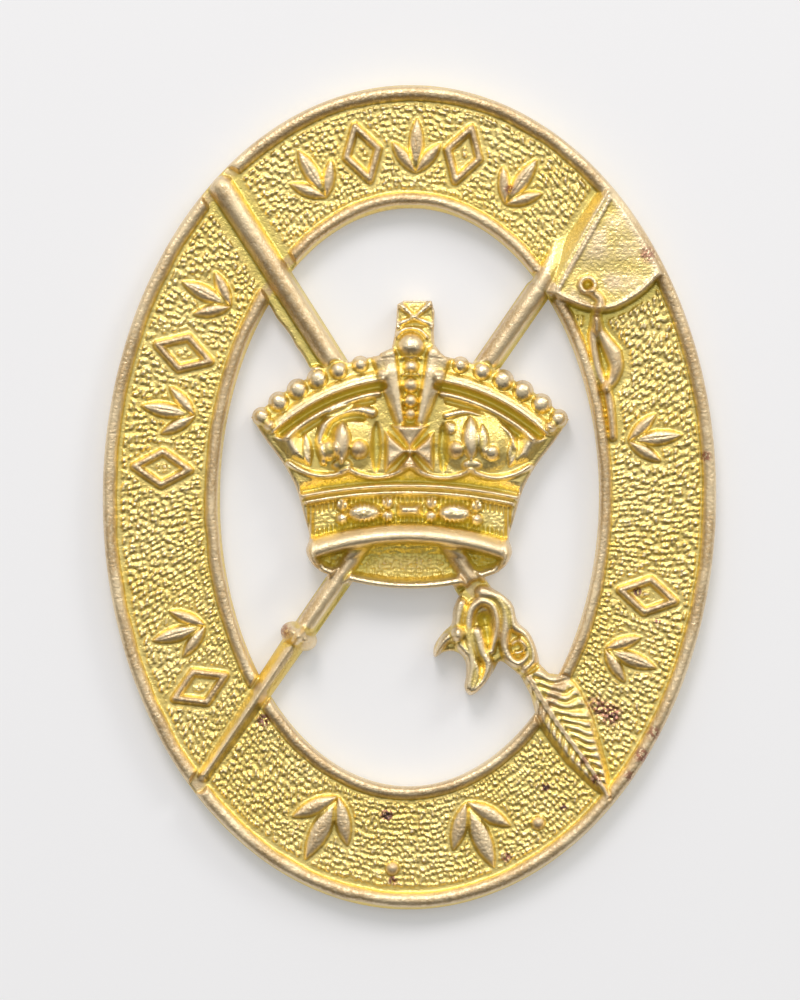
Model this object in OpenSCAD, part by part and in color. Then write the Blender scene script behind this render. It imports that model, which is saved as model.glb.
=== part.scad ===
// Pierced oval cap badge with crossed staffs and a crown, struck in one piece of sheet brass,
// with two brazed wire lugs on its back and a split pin through each.
// The badge stands upright: +Z is up, the face looks along -Y, and the origin is the centre of
// the oval on the plane of the back.
// The face is drawn flat first, with x to the right, y up and z out of the face.

/* [Oval band] */
// Height over the band
badge_h = 48; // [47:0.1:49]
// Width over the band
badge_w = 35.7; // [35.2:0.1:36.2]
// Height of the oval opening inside the band
opening_h = 33.7; // [33:0.1:34.2]
// Width of the oval opening inside the band
opening_w = 22.1; // [21.6:0.1:22.4]
// Thickness of the struck sheet
sheet_t = 0.9; // [0.8:0.05:1.1]
// Width of each raised rim
rim_w = 0.85; // [0.6:0.05:1]
// Height of the rims above the sheet
rim_rise = 0.5; // [0.3:0.05:0.6]
// Flat edge left outside each rim
rim_edge = 0.3; // [0.2:0.05:0.4]

/* [Ornaments on the band] */
// Height of the small sprigs and lozenges
small_ornament_h = 3.4; // [3:0.1:3.6]
// Height of the two large ornaments at the bottom
large_ornament_h = 4.4; // [3.8:0.1:4.6]
// Height of the ornaments above the sheet
ornament_rise = 0.45; // [0.3:0.05:0.6]

/* [Staffs] */
// Width of the staffs' round shafts
shaft_w = 1.4; // [1.1:0.1:1.6]
// Width of the thin border beside each shaft
shaft_border = 0.45; // [0.3:0.05:0.6]
// Height of the shafts above the back
shaft_peak = 2; // [1.7:0.1:2.2]
// Height of the carved head and the fan above the back
carving_h = 1.55; // [1.3:0.05:1.7]

/* [Crown] */
// Height of the crown's plain surface above the back
crown_t = 1.5; // [1.3:0.1:1.6]
// Radius of the pearls on the arches
pearl_r = 0.5; // [0.4:0.05:0.55]
// Pearls on each side
pearl_count = 6; // [4:1:6]
// Height of the lower rim, the crown's highest part, above the back
crown_peak = 3; // [2.8:0.1:3.2]

/* [Lugs and pins] */
// Distance between the two lugs
lug_spacing = 28.9; // [28.7:0.1:29.1]
// How far the lugs stand out behind the back
lug_reach = 5.5; // [5:0.1:6.5]
// Diameter of the lugs' wire
wire_d = 1.2; // [1.1:0.05:1.2]
// Diameter of the split pins
pin_d = 1.5; // [1.3:0.05:1.5]
// Gap between a pin and the round of its lug
pin_clearance = 0.05; // [0.02:0.01:0.1]
// Length of a pin from its lug down to its longer tip
pin_length = 9; // [7:0.1:10]

/* [Hidden] */
$fn = 48;

gilt = [0.86, 0.74, 0.32];
copper = [0.72, 0.45, 0.25];
braze_gold = [0.80, 0.68, 0.35];
brass = [0.74, 0.62, 0.30];

// Back of the plate
channel_d = 0.35;
channel_margin = 1;
crown_hollow_d = 0.6;

// Carved staff: the ends of its line, from the top left to the bottom right
carved_top = [-11, 17.9];
carved_tip = [11.8, -17.3];
carved_shaft_end = 30;

// Fan staff: the ends of its line, from the top right to the bottom left
fan_top = [11.1, 17.95];
fan_tip = [-12.2, -16.8];
knob_at = 31.4;
knob_d = 2;
knob_length = 1.2;
fan_outline = [
  [10.2, 20], [18, 14], [14.5, 13.2], [14, 12.3], [12.8, 11.3],
  [11.2, 10.8], [9.8, 11], [8.5, 11.5], [8.1, 12.4]
];
cord_path = [[10.3, 12], [10.8, 10.6], [11.1, 9.6], [12, 8.6], [12.3, 7.8], [11.8, 6.7], [11.2, 5.1]];

// Crown: the arches are arcs round one centre, measured from the vertical
arch_centre = [0, -4.6];
arch_outer_r = 13.1;
arch_half_angle = 44.8;
pearl_ring_r = 12.67;
pearl_first_angle = 13.2;
pearl_step = 6.04;
crown_side = [[8.4, 3.3], [7.3, 1.8], [6.4, 0.3], [6, -1.5], [5.85, -2.6], [5.9, -3.3], [5.3, -4.3]];
finial_outline = [[-1.9, 8.2], [-1, 9.6], [-0.8, 11.4], [1.2, 11.4], [1.3, 9.6], [2.2, 8.2]];
lip_centre = [0, 8.8];
lip_r = 14.1;
lip_half_angle = 22;
circlet_centre = [0, -29.7];
circlet_r = 30.3;
circlet_half_angle = 11.4;
rim_centre = [0, -18.9];
rim_r = 17.3;
rim_half_angle = 19.2;

// Lugs and pins: a pin's ring rests in the crook of its lug, 0.05 clear of the wire
lug_x = lug_spacing / 2;
eye_r = pin_d / 2 + pin_clearance;
loop_r = eye_r + wire_d / 2;
pin_y = lug_reach - wire_d - eye_r;
braze_d = 2;
braze_h = 0.8;
pin_split = 0.1;
pin_ring_r = 1.4;
pin_ring_z = sqrt(pow(pin_ring_r + wire_d / 2 + 0.05, 2) - pow(loop_r, 2));
pin_tips = [-pin_length, 0.7 - pin_length];

// Turns a face drawn flat into the upright badge.
module upright() {
  rotate([90, 0, 0])
    children();
}

// Runs its children from one point towards another, along their own x axis.
module along(start, finish) {
  run = finish - start;
  translate(start)
    rotate(atan2(run.y, run.x))
      children();
}

// Points on an arc, with angles clockwise from straight up.
function arc(centre, r, from, to, steps = 24) =
  [for (i = [0 : steps]) let (a = from + (to - from) * i / steps) centre + r * [sin(a), cos(a)]];

function reversed(points) = [for (i = [len(points) - 1 : -1 : 0]) points[i]];

module oval(w, h) {
  scale([w / 2, h / 2])
    circle(r = 1, $fn = 96);
}

module outer_oval(inset) {
  oval(badge_w - 2 * inset, badge_h - 2 * inset);
}

module opening_oval(outset) {
  oval(opening_w + 2 * outset, opening_h + 2 * outset);
}

// Pointed leaf, where two equal circles overlap.
module leaf(length, width) {
  r = (length * length + width * width) / (4 * width);
  intersection() {
    translate([r - width / 2, 0])
      circle(r);
    translate([width / 2 - r, 0])
      circle(r);
  }
}

// Curved bar of even width.
module arc_bar(centre, r, width, from, to) {
  polygon(concat(arc(centre, r, from, to), arc(centre, r - width, to, from)));
}

// ---- Band

module rims() {
  linear_extrude(sheet_t + rim_rise) {
    difference() {
      outer_oval(rim_edge);
      outer_oval(rim_edge + rim_w);
    }
    difference() {
      opening_oval(rim_edge + rim_w);
      opening_oval(rim_edge);
    }
  }
}

module sprig(h) {
  leaf(h, h * 0.25);
  for (side = [-1, 1])
    translate([0, -h * 0.46])
      rotate(side * -36)
        translate([0, h * 0.33])
          leaf(h * 0.66, h * 0.2);
}

module lozenge(h) {
  polygon([[0, h / 2], [h * 0.24, 0], [0, -h / 2], [-h * 0.24, 0]]);
}

// Places an ornament in the middle of the band, upright on the oval; 0 degrees is the top.
module on_band(angle) {
  mid_w = (badge_w + opening_w) / 4;
  mid_h = (badge_h + opening_h) / 4;
  translate([mid_w * sin(angle), mid_h * cos(angle)])
    rotate(-atan2(mid_h * sin(angle), mid_w * cos(angle)))
      children();
}

module ornaments() {
  sprig_angles = [-23.5, 1, 26, -55, -76, -113, 80, 117];
  lozenge_angles = [-11.5, 12, -66, -85.5, -123, 106];
  linear_extrude(sheet_t + ornament_rise) {
    for (a = sprig_angles)
      on_band(a)
        sprig(small_ornament_h);
    for (a = lozenge_angles)
      on_band(a)
        lozenge(small_ornament_h);
    for (a = [-160, 163])
      on_band(a)
        sprig(large_ornament_h);
  }
}

module pellets() {
  for (a = [-177, 151.5])
    on_band(a)
      translate([0, 1.2, sheet_t])
        sphere(r = 0.42);
}

module band() {
  difference() {
    union() {
      linear_extrude(sheet_t)
        outer_oval(0);
      rims();
      ornaments();
      pellets();
    }
    translate([0, 0, -1])
      linear_extrude(5)
        opening_oval(0);
  }
}

// ---- Staffs

module shaft(length, w) {
  linear_extrude(sheet_t)
    translate([0, -w / 2 - shaft_border])
      square([length, w + 2 * shaft_border]);
  translate([0, 0, shaft_peak - w / 2])
    rotate([0, 90, 0])
      cylinder(d = w, h = length);
}

module carved_head() {
  linear_extrude(carving_h) {
    // Brow and cheeks
    translate([4.15, -7.2])
      rotate(12)
        oval(3.6, 4.8);
    // Jaw
    along([3.9, -8], [3.7, -11.5])
      translate([1.6, 0])
        rotate(90)
          leaf(4.2, 2.4);
    // Horn
    translate([2.4, -8.7])
      rotate(-35)
        leaf(1.9, 1);
    // Collar of curls
    translate([5.9, -7.6])
      rotate(35)
        oval(2.4, 4.6);
  }
  translate([4.4, -6.9, 0])
    difference() {
      linear_extrude(carving_h + 0.5)
        oval(1.8, 2.2);
      translate([0, 0, carving_h])
        cylinder(d = 0.8, h = 2);
    }
}

module feather() {
  linear_extrude(carving_h)
    polygon([[6.2, -9.3], [8.8, -10.3], [9.6, -10.9], [11.1, -14.4], [11.8, -17.4],
             [11.1, -17.1], [9.5, -15.2], [7.9, -13.3], [7.1, -11.9]]);
  along([7, -10.2], carved_tip)
    translate([0, 0, carving_h])
      rotate([0, 90, 0])
        cylinder(d = 0.6, h = 8.2);
}

module carved_staff() {
  along(carved_top, carved_tip)
    shaft(carved_shaft_end, shaft_w);
  carved_head();
  feather();
}

module fan() {
  intersection() {
    linear_extrude(carving_h)
      polygon(fan_outline);
    linear_extrude(carving_h + 1)
      outer_oval(rim_edge);
  }
  translate([10.2, 12.5, 0])
    difference() {
      cylinder(d = 1.15, h = carving_h + 0.35);
      translate([0, 0, carving_h])
        cylinder(d = 0.5, h = 1);
    }
}

module fan_cord() {
  cord_w = 0.7;
  linear_extrude(sheet_t + 0.6)
    for (i = [0 : len(cord_path) - 2])
      along(cord_path[i], cord_path[i + 1]) {
        translate([0, -cord_w / 2])
          square([norm(cord_path[i + 1] - cord_path[i]), cord_w]);
        circle(d = cord_w);
      }
}

module fan_staff() {
  length = norm(fan_tip - fan_top);
  along(fan_top, fan_tip) {
    shaft(length - 1.2, shaft_w * 0.86);
    translate([knob_at - knob_length / 2, 0, shaft_peak - knob_d / 2 + 0.3])
      rotate([0, 90, 0])
        cylinder(d = knob_d, h = knob_length);
  }
  fan();
  fan_cord();
}

// ---- Crown

module crown_outline() {
  polygon(concat(
    arc(arch_centre, arch_outer_r, -arch_half_angle, arch_half_angle, 36),
    crown_side,
    arc(lip_centre, -lip_r, -lip_half_angle, lip_half_angle),
    reversed([for (p = crown_side) [-p.x, p.y]])
  ));
}

// The part of the flat face that lies below the crown's lower rim
module below_rim() {
  polygon(concat(arc(rim_centre, rim_r - 0.8, -20, 20), [[6.2, -7], [-6.2, -7]]));
}

// Open underside of the crown, between its lower rim and its back edge
module underside() {
  polygon(concat(
    arc(rim_centre, rim_r - 0.8, -16, 16),
    arc(lip_centre, 0.5 - lip_r, -17.5, 17.5)
  ));
}

module arches() {
  linear_extrude(crown_t + 0.6)
    for (side = [-1, 1]) {
      arc_bar(arch_centre, 11.6, 0.35, side * 6, side * 43.5);
      arc_bar(arch_centre, 10.9, 0.3, side * 9, side * 40);
    }
  for (side = [-1, 1], i = [0 : pearl_count - 1]) {
    a = side * (pearl_first_angle + i * pearl_step);
    translate(arch_centre + pearl_ring_r * [sin(a), cos(a)])
      translate([0, 0, crown_t + 0.25])
        sphere(r = pearl_r);
  }
}

module centre_arch() {
  linear_extrude(crown_t + 0.4)
    translate([-0.6, 4])
      square([1.2, 4.4]);
  linear_extrude(crown_t + 1)
    for (side = [-1, 1])
      translate([side * 1.05, 5.8])
        rotate(side * -6)
          leaf(5, 0.95);
  for (y = [4.9, 5.6, 6.4, 7.7])
    translate([0, y, crown_t + 0.4])
      sphere(r = 0.42);
}

module finial() {
  linear_extrude(crown_t)
    polygon(finial_outline);
  translate([0.1, 8.85, crown_t + 0.3])
    sphere(r = 0.78);
  linear_extrude(crown_t + 0.6)
    for (a = [0 : 90 : 270])
      translate([0.2, 10.4])
        rotate(a + 45)
          translate([0.62, 0])
            square([0.55, 0.5], center = true);
}

module cross() {
  arm = 1.35;
  linear_extrude(crown_t + 1.1)
    for (a = [0 : 90 : 270])
      rotate(a)
        polygon([[0.12, 0], [arm, -arm * 0.8], [arm, arm * 0.8]]);
  cylinder(d = 0.7, h = crown_t + 1.3);
}

module fleur() {
  linear_extrude(crown_t + 0.8) {
    leaf(2.3, 0.75);
    for (side = [-1, 1])
      translate([side * 0.75, -0.25])
        rotate(side * -25)
          leaf(1.7, 0.7);
    translate([-0.8, -0.8])
      square([1.6, 0.4]);
  }
}

module circlet() {
  linear_extrude(crown_t + 0.5)
    polygon(concat(
      arc(circlet_centre, circlet_r, -circlet_half_angle, circlet_half_angle),
      arc(rim_centre, rim_r - 0.4, rim_half_angle, -rim_half_angle)
    ));
  linear_extrude(crown_t + 1)
    arc_bar(circlet_centre, circlet_r, 0.5, -circlet_half_angle, circlet_half_angle);
  linear_extrude(crown_peak)
    arc_bar(rim_centre, rim_r, 0.9, -rim_half_angle, rim_half_angle);
}

module jewels() {
  linear_extrude(crown_t + 1.1) {
    translate([-0.7, -1.05])
      square([1.4, 0.75]);
    for (side = [-1, 1])
      translate([side * 2.6, -0.95])
        oval(1.5, 0.95);
  }
  for (side = [-1, 1], row = [0, 1])
    for (x = [1.25, 3.9])
      translate([side * x, -0.35 - row * 0.85 - x * 0.03, crown_t + 0.6])
        sphere(r = 0.32);
}

module crown() {
  difference() {
    linear_extrude(crown_t)
      crown_outline();
    translate([0, 0, sheet_t])
      linear_extrude(crown_t)
        underside();
  }
  arches();
  centre_arch();
  finial();
  translate([0, 2.7])
    cross();
  for (side = [-1, 1]) {
    translate([side * 3.8, 3.6])
      fleur();
    translate([side * 7, 2.8])
      rotate(side * 12)
        linear_extrude(crown_t + 0.7)
          leaf(2.2, 0.8);
  }
  circlet();
  jewels();
}

// ---- Struck plate

// Hollows that the striking leaves in the back: a channel round the band, and the crown's inside.
module back_hollows() {
  translate([0, 0, -1]) {
    linear_extrude(1 + channel_d)
      difference() {
        outer_oval(channel_margin);
        opening_oval(channel_margin);
      }
    linear_extrude(1 + crown_hollow_d)
      polygon(concat(
        arc(arch_centre, arch_outer_r - channel_margin, -38, 38),
        [[6, 1.8], [5, 0.3], [4.7, -1.2], [-4.7, -1.2], [-5, 0.3], [-6, 1.8]]
      ));
  }
}

// Both staffs, stopped at the band's outer edge and hidden where they pass behind the crown
module staffs() {
  difference() {
    intersection() {
      union() {
        carved_staff();
        fan_staff();
      }
      linear_extrude(crown_peak)
        outer_oval(0);
    }
    translate([0, 0, sheet_t])
      linear_extrude(crown_peak)
        difference() {
          crown_outline();
          below_rim();
        }
  }
}

module struck_badge() {
  color(gilt)
    upright()
      difference() {
        union() {
          band();
          staffs();
          crown();
        }
        back_hollows();
      }
}

// ---- Lugs

// Loop of wire with two straight legs; side is -1 on the left and 1 on the right.
module wire_lug(side) {
  translate([side * lug_x, 0, 0]) {
    for (foot = [-1, 1])
      translate([foot * loop_r, -channel_d, 0])
        rotate([-90, 0, 0])
          cylinder(d = wire_d, h = channel_d + pin_y);
    translate([0, pin_y, 0])
      rotate_extrude(angle = 180)
        translate([loop_r, 0])
          circle(d = wire_d);
  }
}

// The solder that has run round a lug's two feet.
module braze(side) {
  for (foot = [-1, 1])
    translate([side * lug_x + foot * loop_r, -channel_d, 0])
      rotate([-90, 0, 0])
        difference() {
          cylinder(d1 = braze_d, d2 = wire_d + 0.2, h = braze_h);
          translate([0, 0, -1])
            cylinder(d = wire_d, h = braze_h + 2);
        }
}

module lug_left() {
  color(copper)
    wire_lug(-1);
}

module lug_right() {
  color(copper)
    wire_lug(1);
}

module braze_left() {
  color(braze_gold)
    braze(-1);
}

module braze_right() {
  color(braze_gold)
    braze(1);
}

// ---- Split pins

// One half-round leg; side says on which side of the split it lies.
module pin_leg(side, tip_z) {
  leg_top = pin_ring_z - pin_ring_r + 0.4;
  intersection() {
    translate([0, 0, tip_z])
      cylinder(d = pin_d, h = leg_top - tip_z);
    translate([side > 0 ? pin_split / 2 : -pin_split / 2 - pin_d, -pin_d, tip_z - 1])
      cube([pin_d, 2 * pin_d, leg_top - tip_z + 2]);
  }
}

// The head: the same half-round wire bent into a ring, flat side in.
module pin_ring() {
  translate([0, 0, pin_ring_z])
    rotate([90, 0, 0])
      rotate_extrude()
        intersection() {
          translate([pin_ring_r - pin_d / 2, 0])
            circle(d = pin_d);
          translate([pin_ring_r - pin_d / 2, -pin_d])
            square([pin_d, 2 * pin_d]);
        }
}

module split_pin(side) {
  color(brass)
    translate([side * lug_x, pin_y, 0]) {
      pin_leg(1, pin_tips[0]);
      pin_leg(-1, pin_tips[1]);
      pin_ring();
    }
}

module pin_left() {
  split_pin(-1);
}

module pin_right() {
  split_pin(1);
}

struck_badge();
lug_left();
lug_right();
braze_left();
braze_right();
pin_left();
pin_right();
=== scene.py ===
"""Cap badge in gilt brass: a struck and pierced plate, two brazed copper lugs and two split pins.

The plate's face is modelled as heights over a flat grid. On the face x runs to the right, y runs up
and heights rise out of the plane of the back, all in millimetres. In the badge's own frame the face
looks along -Y with +Z up, in metres.
"""

import math

import bpy
import numpy as np
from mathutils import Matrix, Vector

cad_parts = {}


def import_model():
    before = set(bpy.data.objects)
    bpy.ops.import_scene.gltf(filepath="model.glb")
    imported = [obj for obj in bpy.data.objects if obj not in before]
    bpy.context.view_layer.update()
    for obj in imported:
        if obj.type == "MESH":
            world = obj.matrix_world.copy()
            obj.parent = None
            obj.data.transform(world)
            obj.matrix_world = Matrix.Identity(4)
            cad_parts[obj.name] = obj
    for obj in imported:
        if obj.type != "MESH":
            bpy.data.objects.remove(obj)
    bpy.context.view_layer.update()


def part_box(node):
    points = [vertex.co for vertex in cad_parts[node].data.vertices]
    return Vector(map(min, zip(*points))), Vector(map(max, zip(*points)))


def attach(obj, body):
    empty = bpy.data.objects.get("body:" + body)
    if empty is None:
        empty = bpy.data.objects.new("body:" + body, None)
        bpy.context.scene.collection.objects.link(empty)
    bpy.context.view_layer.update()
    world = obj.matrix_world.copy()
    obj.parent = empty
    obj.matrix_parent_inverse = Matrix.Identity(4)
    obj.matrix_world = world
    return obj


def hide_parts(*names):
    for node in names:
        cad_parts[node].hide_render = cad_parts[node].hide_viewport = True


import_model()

MM = 0.001

# ---- sizes, in millimetres

PLATE_LOW, PLATE_HIGH = [[c / MM for c in corner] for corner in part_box("struck_badge")]
HALF_W = PLATE_HIGH[0]
HALF_H = PLATE_HIGH[2]
PEAK = -PLATE_LOW[1]
BAND = (HALF_W, HALF_H)
OPENING = (11.05, 16.85)
LUG_X = abs(sum(corner[0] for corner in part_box("lug_right"))) / 2 / MM

GRID = 0.05  # step of the height field
FAR = 9.0  # stands for a distance well outside every shape

# heights above the flat of the back
SHEET = 0.9
HEAD_LEVEL, FEATHER_LEVEL, FAN_LEVEL = 1.25, 1.15, 1.78
CROWN_LEVEL, UNDERSIDE_LEVEL, LIP_LEVEL = 1.35, 1.05, 1.95

# heights above the ground, and the depth of the channel in the back
RIM_RISE = 0.5
GRAIN_RISE = 0.29
ORNAMENT_RISE = 0.45
CHANNEL_DEPTH = 0.35

GRAIN_DEPTH, GRAIN_LENGTH = 0.33, 0.29
CROWN_BULGE, CROWN_HALF_W = 0.45, 9.2

# ellipses on the band: centre, half width, half height
OUTER_CREST = ((0.0, 0.05), 17.5, 23.5)
INNER_CREST = ((-0.05, 0.08), 11.47, 17.27)
GROUND_OUTSIDE = ((0.06, 0.09), 16.91, 22.84)
GROUND_INSIDE = ((-0.1, 0.1), 11.95, 17.77)

CARVED_TOP, CARVED_TIP = np.array([-11.0, 17.9]), np.array([11.8, -17.3])
FAN_TOP, FAN_TIP = np.array([11.1, 17.95]), np.array([-12.2, -16.8])
FAN_EDGE = np.array([11.43, 17.95]), np.array([8.03, 11.85])

ARCH_CENTRE = np.array([0.0, -4.6])
ARCH_OUTER = 12.95
CROWN_SIDE = [(9.25, 4.6), (8.4, 3.3), (7.35, 1.9), (6.6, 0.5), (6.15, -1.0), (5.8, -2.3),
              (5.98, -3.1), (5.7, -3.8), (5.2, -4.3)]
LIP_CENTRE, LIP_R = np.array([0.0, 8.8]), 14.1
CIRCLET_CENTRE, CIRCLET_R = np.array([0.0, -29.7]), 30.3
RIM_CENTRE, RIM_R = np.array([0.0, -18.9]), 17.3

# places of the ornaments on the band, in degrees clockwise from the top
SMALL_SPRIGS = (-23.5, 1, 26, -55, -76, -113, 80, 117)
LARGE_SPRIGS = (-160, 163)
LOZENGES = (-11.5, 12, -66, -85.5, -123, 106)
PELLETS = (-177, 151.5)

# spots of tarnish and rust: x, y, radius, darkness; the spot at (-7.3, -7.75) is painted shade on the
# knob's left side, partly dirt
STAINS_AND_SHADE = [
    (11.8, -12.55, 0.7, 0.6), (11.9, -12.65, 0.22, 0.3), (10.85, -11.95, 0.6, 0.45),
    (14.3, -13.6, 0.45, 0.5), (13.6, -14.9, 0.45, 0.6), (12.9, -16.1, 0.35, 0.5),
    (10.2, -15.2, 0.35, 0.45), (10.95, -16.3, 0.35, 0.6), (8.05, -16.8, 0.22, 1.0),
    (9.1, -18.0, 0.18, 0.9), (5.8, -20.9, 0.3, 0.6), (-1.2, -18.5, 0.32, 1.0),
    (-0.8, -22.3, 0.25, 0.8), (-8.4, -13.05, 0.35, 0.8), (-7.3, -7.75, 0.5, 0.45),
    (13.3, -5.4, 0.22, 1.0), (14.5, -7.1, 0.16, 0.9), (17.2, 2.5, 0.35, 0.55),
    (13.7, 14.2, 0.55, 0.5), (5.7, 17.95, 0.35, 0.5),
]


# ---- flat shapes

class Shape:
    """A flat outline: a box round it, the distance to its edge (negative inside) and its half width."""

    def __init__(self, low, high, half, distance):
        self.low = np.array(low, float)
        self.high = np.array(high, float)
        self.half = half
        self.distance = distance

    def grown(self, by):
        """The same shape with its edge moved out."""
        def distance(x, y):
            return self.distance(x, y) - by

        return Shape(self.low - by, self.high + by, self.half + by, distance)


def unit(angle):
    """Direction at an angle clockwise from straight up, in degrees."""
    return np.array([math.sin(math.radians(angle)), math.cos(math.radians(angle))])


def arc(centre, radius, start, end, steps=24):
    return [np.array(centre) + radius * unit(a) for a in np.linspace(start, end, steps + 1)]


def curve(points, steps=6):
    """Points along a smooth curve through the given ones."""
    pts = np.array(points, float)
    ends = np.vstack([2 * pts[0] - pts[1], pts, 2 * pts[-1] - pts[-2]])
    path = []
    for a, b, c, d in zip(ends, ends[1:], ends[2:], ends[3:]):
        for t in np.linspace(0, 1, steps, endpoint=False):
            path.append(0.5 * (2 * b + (c - a) * t + (2 * a - 5 * b + 4 * c - d) * t ** 2
                               + (3 * b - a - 3 * c + d) * t ** 3))
    return path + [pts[-1]]


def oval(centre, half_w, half_h, turn=0.0):
    """Ellipse, turned anticlockwise by turn degrees."""
    centre = np.array(centre, float)
    reach = max(half_w, half_h)
    cos, sin = math.cos(math.radians(turn)), math.sin(math.radians(turn))

    def distance(x, y):
        u = (x - centre[0]) * cos + (y - centre[1]) * sin
        v = (y - centre[1]) * cos - (x - centre[0]) * sin
        k = np.maximum(np.hypot(u / half_w, v / half_h), 1e-6)
        slope = np.maximum(np.hypot(u / half_w ** 2, v / half_h ** 2), 1e-6)
        return k * (k - 1) / slope

    return Shape(centre - reach, centre + reach, min(half_w, half_h), distance)


def disc(centre, radius):
    return oval(centre, radius, radius)


def leaf(start, end, width):
    """Pointed leaf between two points: the overlap of two equal circles."""
    start, end = np.array(start, float), np.array(end, float)
    centre, along = (start + end) / 2, end - start
    length = np.hypot(*along)
    along = along / length
    radius = (length ** 2 + width ** 2) / (4 * width)
    offset = radius - width / 2

    def distance(x, y):
        v = np.abs((x - centre[0]) * along[0] + (y - centre[1]) * along[1])
        u = np.abs((y - centre[1]) * along[0] - (x - centre[0]) * along[1])
        past_tip = (v - length / 2) * offset > u * length / 2
        return np.where(past_tip, np.hypot(u, v - length / 2), np.hypot(u + offset, v) - radius)

    return Shape(centre - length / 2, centre + length / 2, width / 2, distance)


def outline(points, half=0.5):
    """Filled polygon."""
    pts = np.array(points, float)

    def distance(x, y):
        nearest = np.full(x.shape, 1e9)
        inside = np.zeros(x.shape, bool)
        for (ax, ay), (bx, by) in zip(pts, np.roll(pts, -1, axis=0)):
            ex, ey = bx - ax, by - ay
            t = np.clip(((x - ax) * ex + (y - ay) * ey) / (ex * ex + ey * ey), 0, 1)
            nearest = np.minimum(nearest, (x - ax - t * ex) ** 2 + (y - ay - t * ey) ** 2)
            if ay != by:
                inside ^= ((ay > y) != (by > y)) & (x < ex * (y - ay) / ey + ax)
        return np.where(inside, -1, 1) * np.sqrt(nearest)

    return Shape(pts.min(axis=0), pts.max(axis=0), half, distance)


def stroke(points, width, end_width=None):
    """Line of the given width through the points, its width changing evenly to end_width."""
    path = np.array(points, float)
    run = np.concatenate([[0], np.cumsum(np.hypot(*np.diff(path, axis=0).T))])
    end_width = width if end_width is None else end_width
    halves = (width + (end_width - width) * run / run[-1]) / 2

    def distance(x, y):
        nearest = np.full(x.shape, 1e9)
        for (ax, ay), (bx, by), ah, bh in zip(path, path[1:], halves, halves[1:]):
            ex, ey = bx - ax, by - ay
            t = np.clip(((x - ax) * ex + (y - ay) * ey) / (ex * ex + ey * ey), 0, 1)
            away = np.hypot(x - ax - t * ex, y - ay - t * ey) - (ah + (bh - ah) * t)
            nearest = np.minimum(nearest, away)
        return nearest

    half = max(width, end_width) / 2
    return Shape(path.min(axis=0) - half, path.max(axis=0) + half, half, distance)


def bent(points, width, end_width=None):
    """Stroke along a smooth curve through the points."""
    return stroke(curve(points), width, end_width)


# ---- profiles and noise

def ramp(value):
    """Smooth step from 0 to 1."""
    t = np.clip(value, 0, 1)
    return t * t * (3 - 2 * t)


def rounded(distance, half):
    """Half-round section."""
    depth = np.clip(-distance / half, 0, 1)
    return np.sqrt(depth * (2 - depth))


def swelling(distance, half):
    """Low dome with a section like the top of an arch."""
    depth = np.clip(-distance / half, 0, 1)
    return depth * (2 - depth)


def roof(distance, half):
    """Two flat slopes that meet in a blunt crest."""
    depth = np.clip(-distance / half, 0, 1)
    return depth - 0.12 * depth ** 6


def raised(run):
    """Flat top with sides that slope over the given run."""
    def profile(distance, half):
        return ramp(-distance / run)

    return profile


TABLE = 128


def noise(x, y, size, seed):
    """Smooth random values from -1 to 1, which repeat after TABLE times the size."""
    table = np.random.default_rng(seed).uniform(-1, 1, (TABLE, TABLE))
    u, v = x / size + 500, y / size + 500
    i, j = np.floor(u).astype(int), np.floor(v).astype(int)
    s, t = ramp(u - i), ramp(v - j)

    def row(dj):
        left, right = (table[(i + di) % TABLE, (j + dj) % TABLE] for di in (0, 1))
        return left * (1 - s) + right * s

    return row(0) * (1 - t) + row(1) * t


def grains(u, v, seed):
    """Round-topped grains, one to each unit cell of (u, v) and shifted at random."""
    rng = np.random.default_rng(seed)
    shift = rng.uniform(-0.3, 0.3, (TABLE, TABLE, 2))
    size = rng.uniform(0.6, 1.0, (TABLE, TABLE))
    i, j = np.floor(u).astype(int), np.floor(v).astype(int)
    top = np.zeros(u.shape)
    for di in (-1, 0, 1):
        for dj in (-1, 0, 1):
            ci, cj = (i + di) % TABLE, (j + dj) % TABLE
            cu = i + di + 0.5 + shift[ci, cj, 0]
            cv = j + dj + 0.5 + shift[ci, cj, 1]
            away = ((u - cu) ** 2 + (v - cv) ** 2) / 0.32
            top = np.maximum(top, (1 - away) * size[ci, cj])
    return np.clip(top, 0, 1)


def blurred(values, cells):
    """Moving average over a square, run three times to round it."""
    width = 2 * cells + 1
    for axis in (0, 1, 0, 1, 0, 1):
        margins = [(0, 0), (0, 0)]
        margins[axis] = (cells + 1, cells)
        total = np.cumsum(np.pad(values, margins, "edge"), axis)
        count = values.shape[axis]
        high = total.take(range(width, width + count), axis)
        low = total.take(range(count), axis)
        values = (high - low) / width
    return values


# ---- the plate's face

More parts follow.
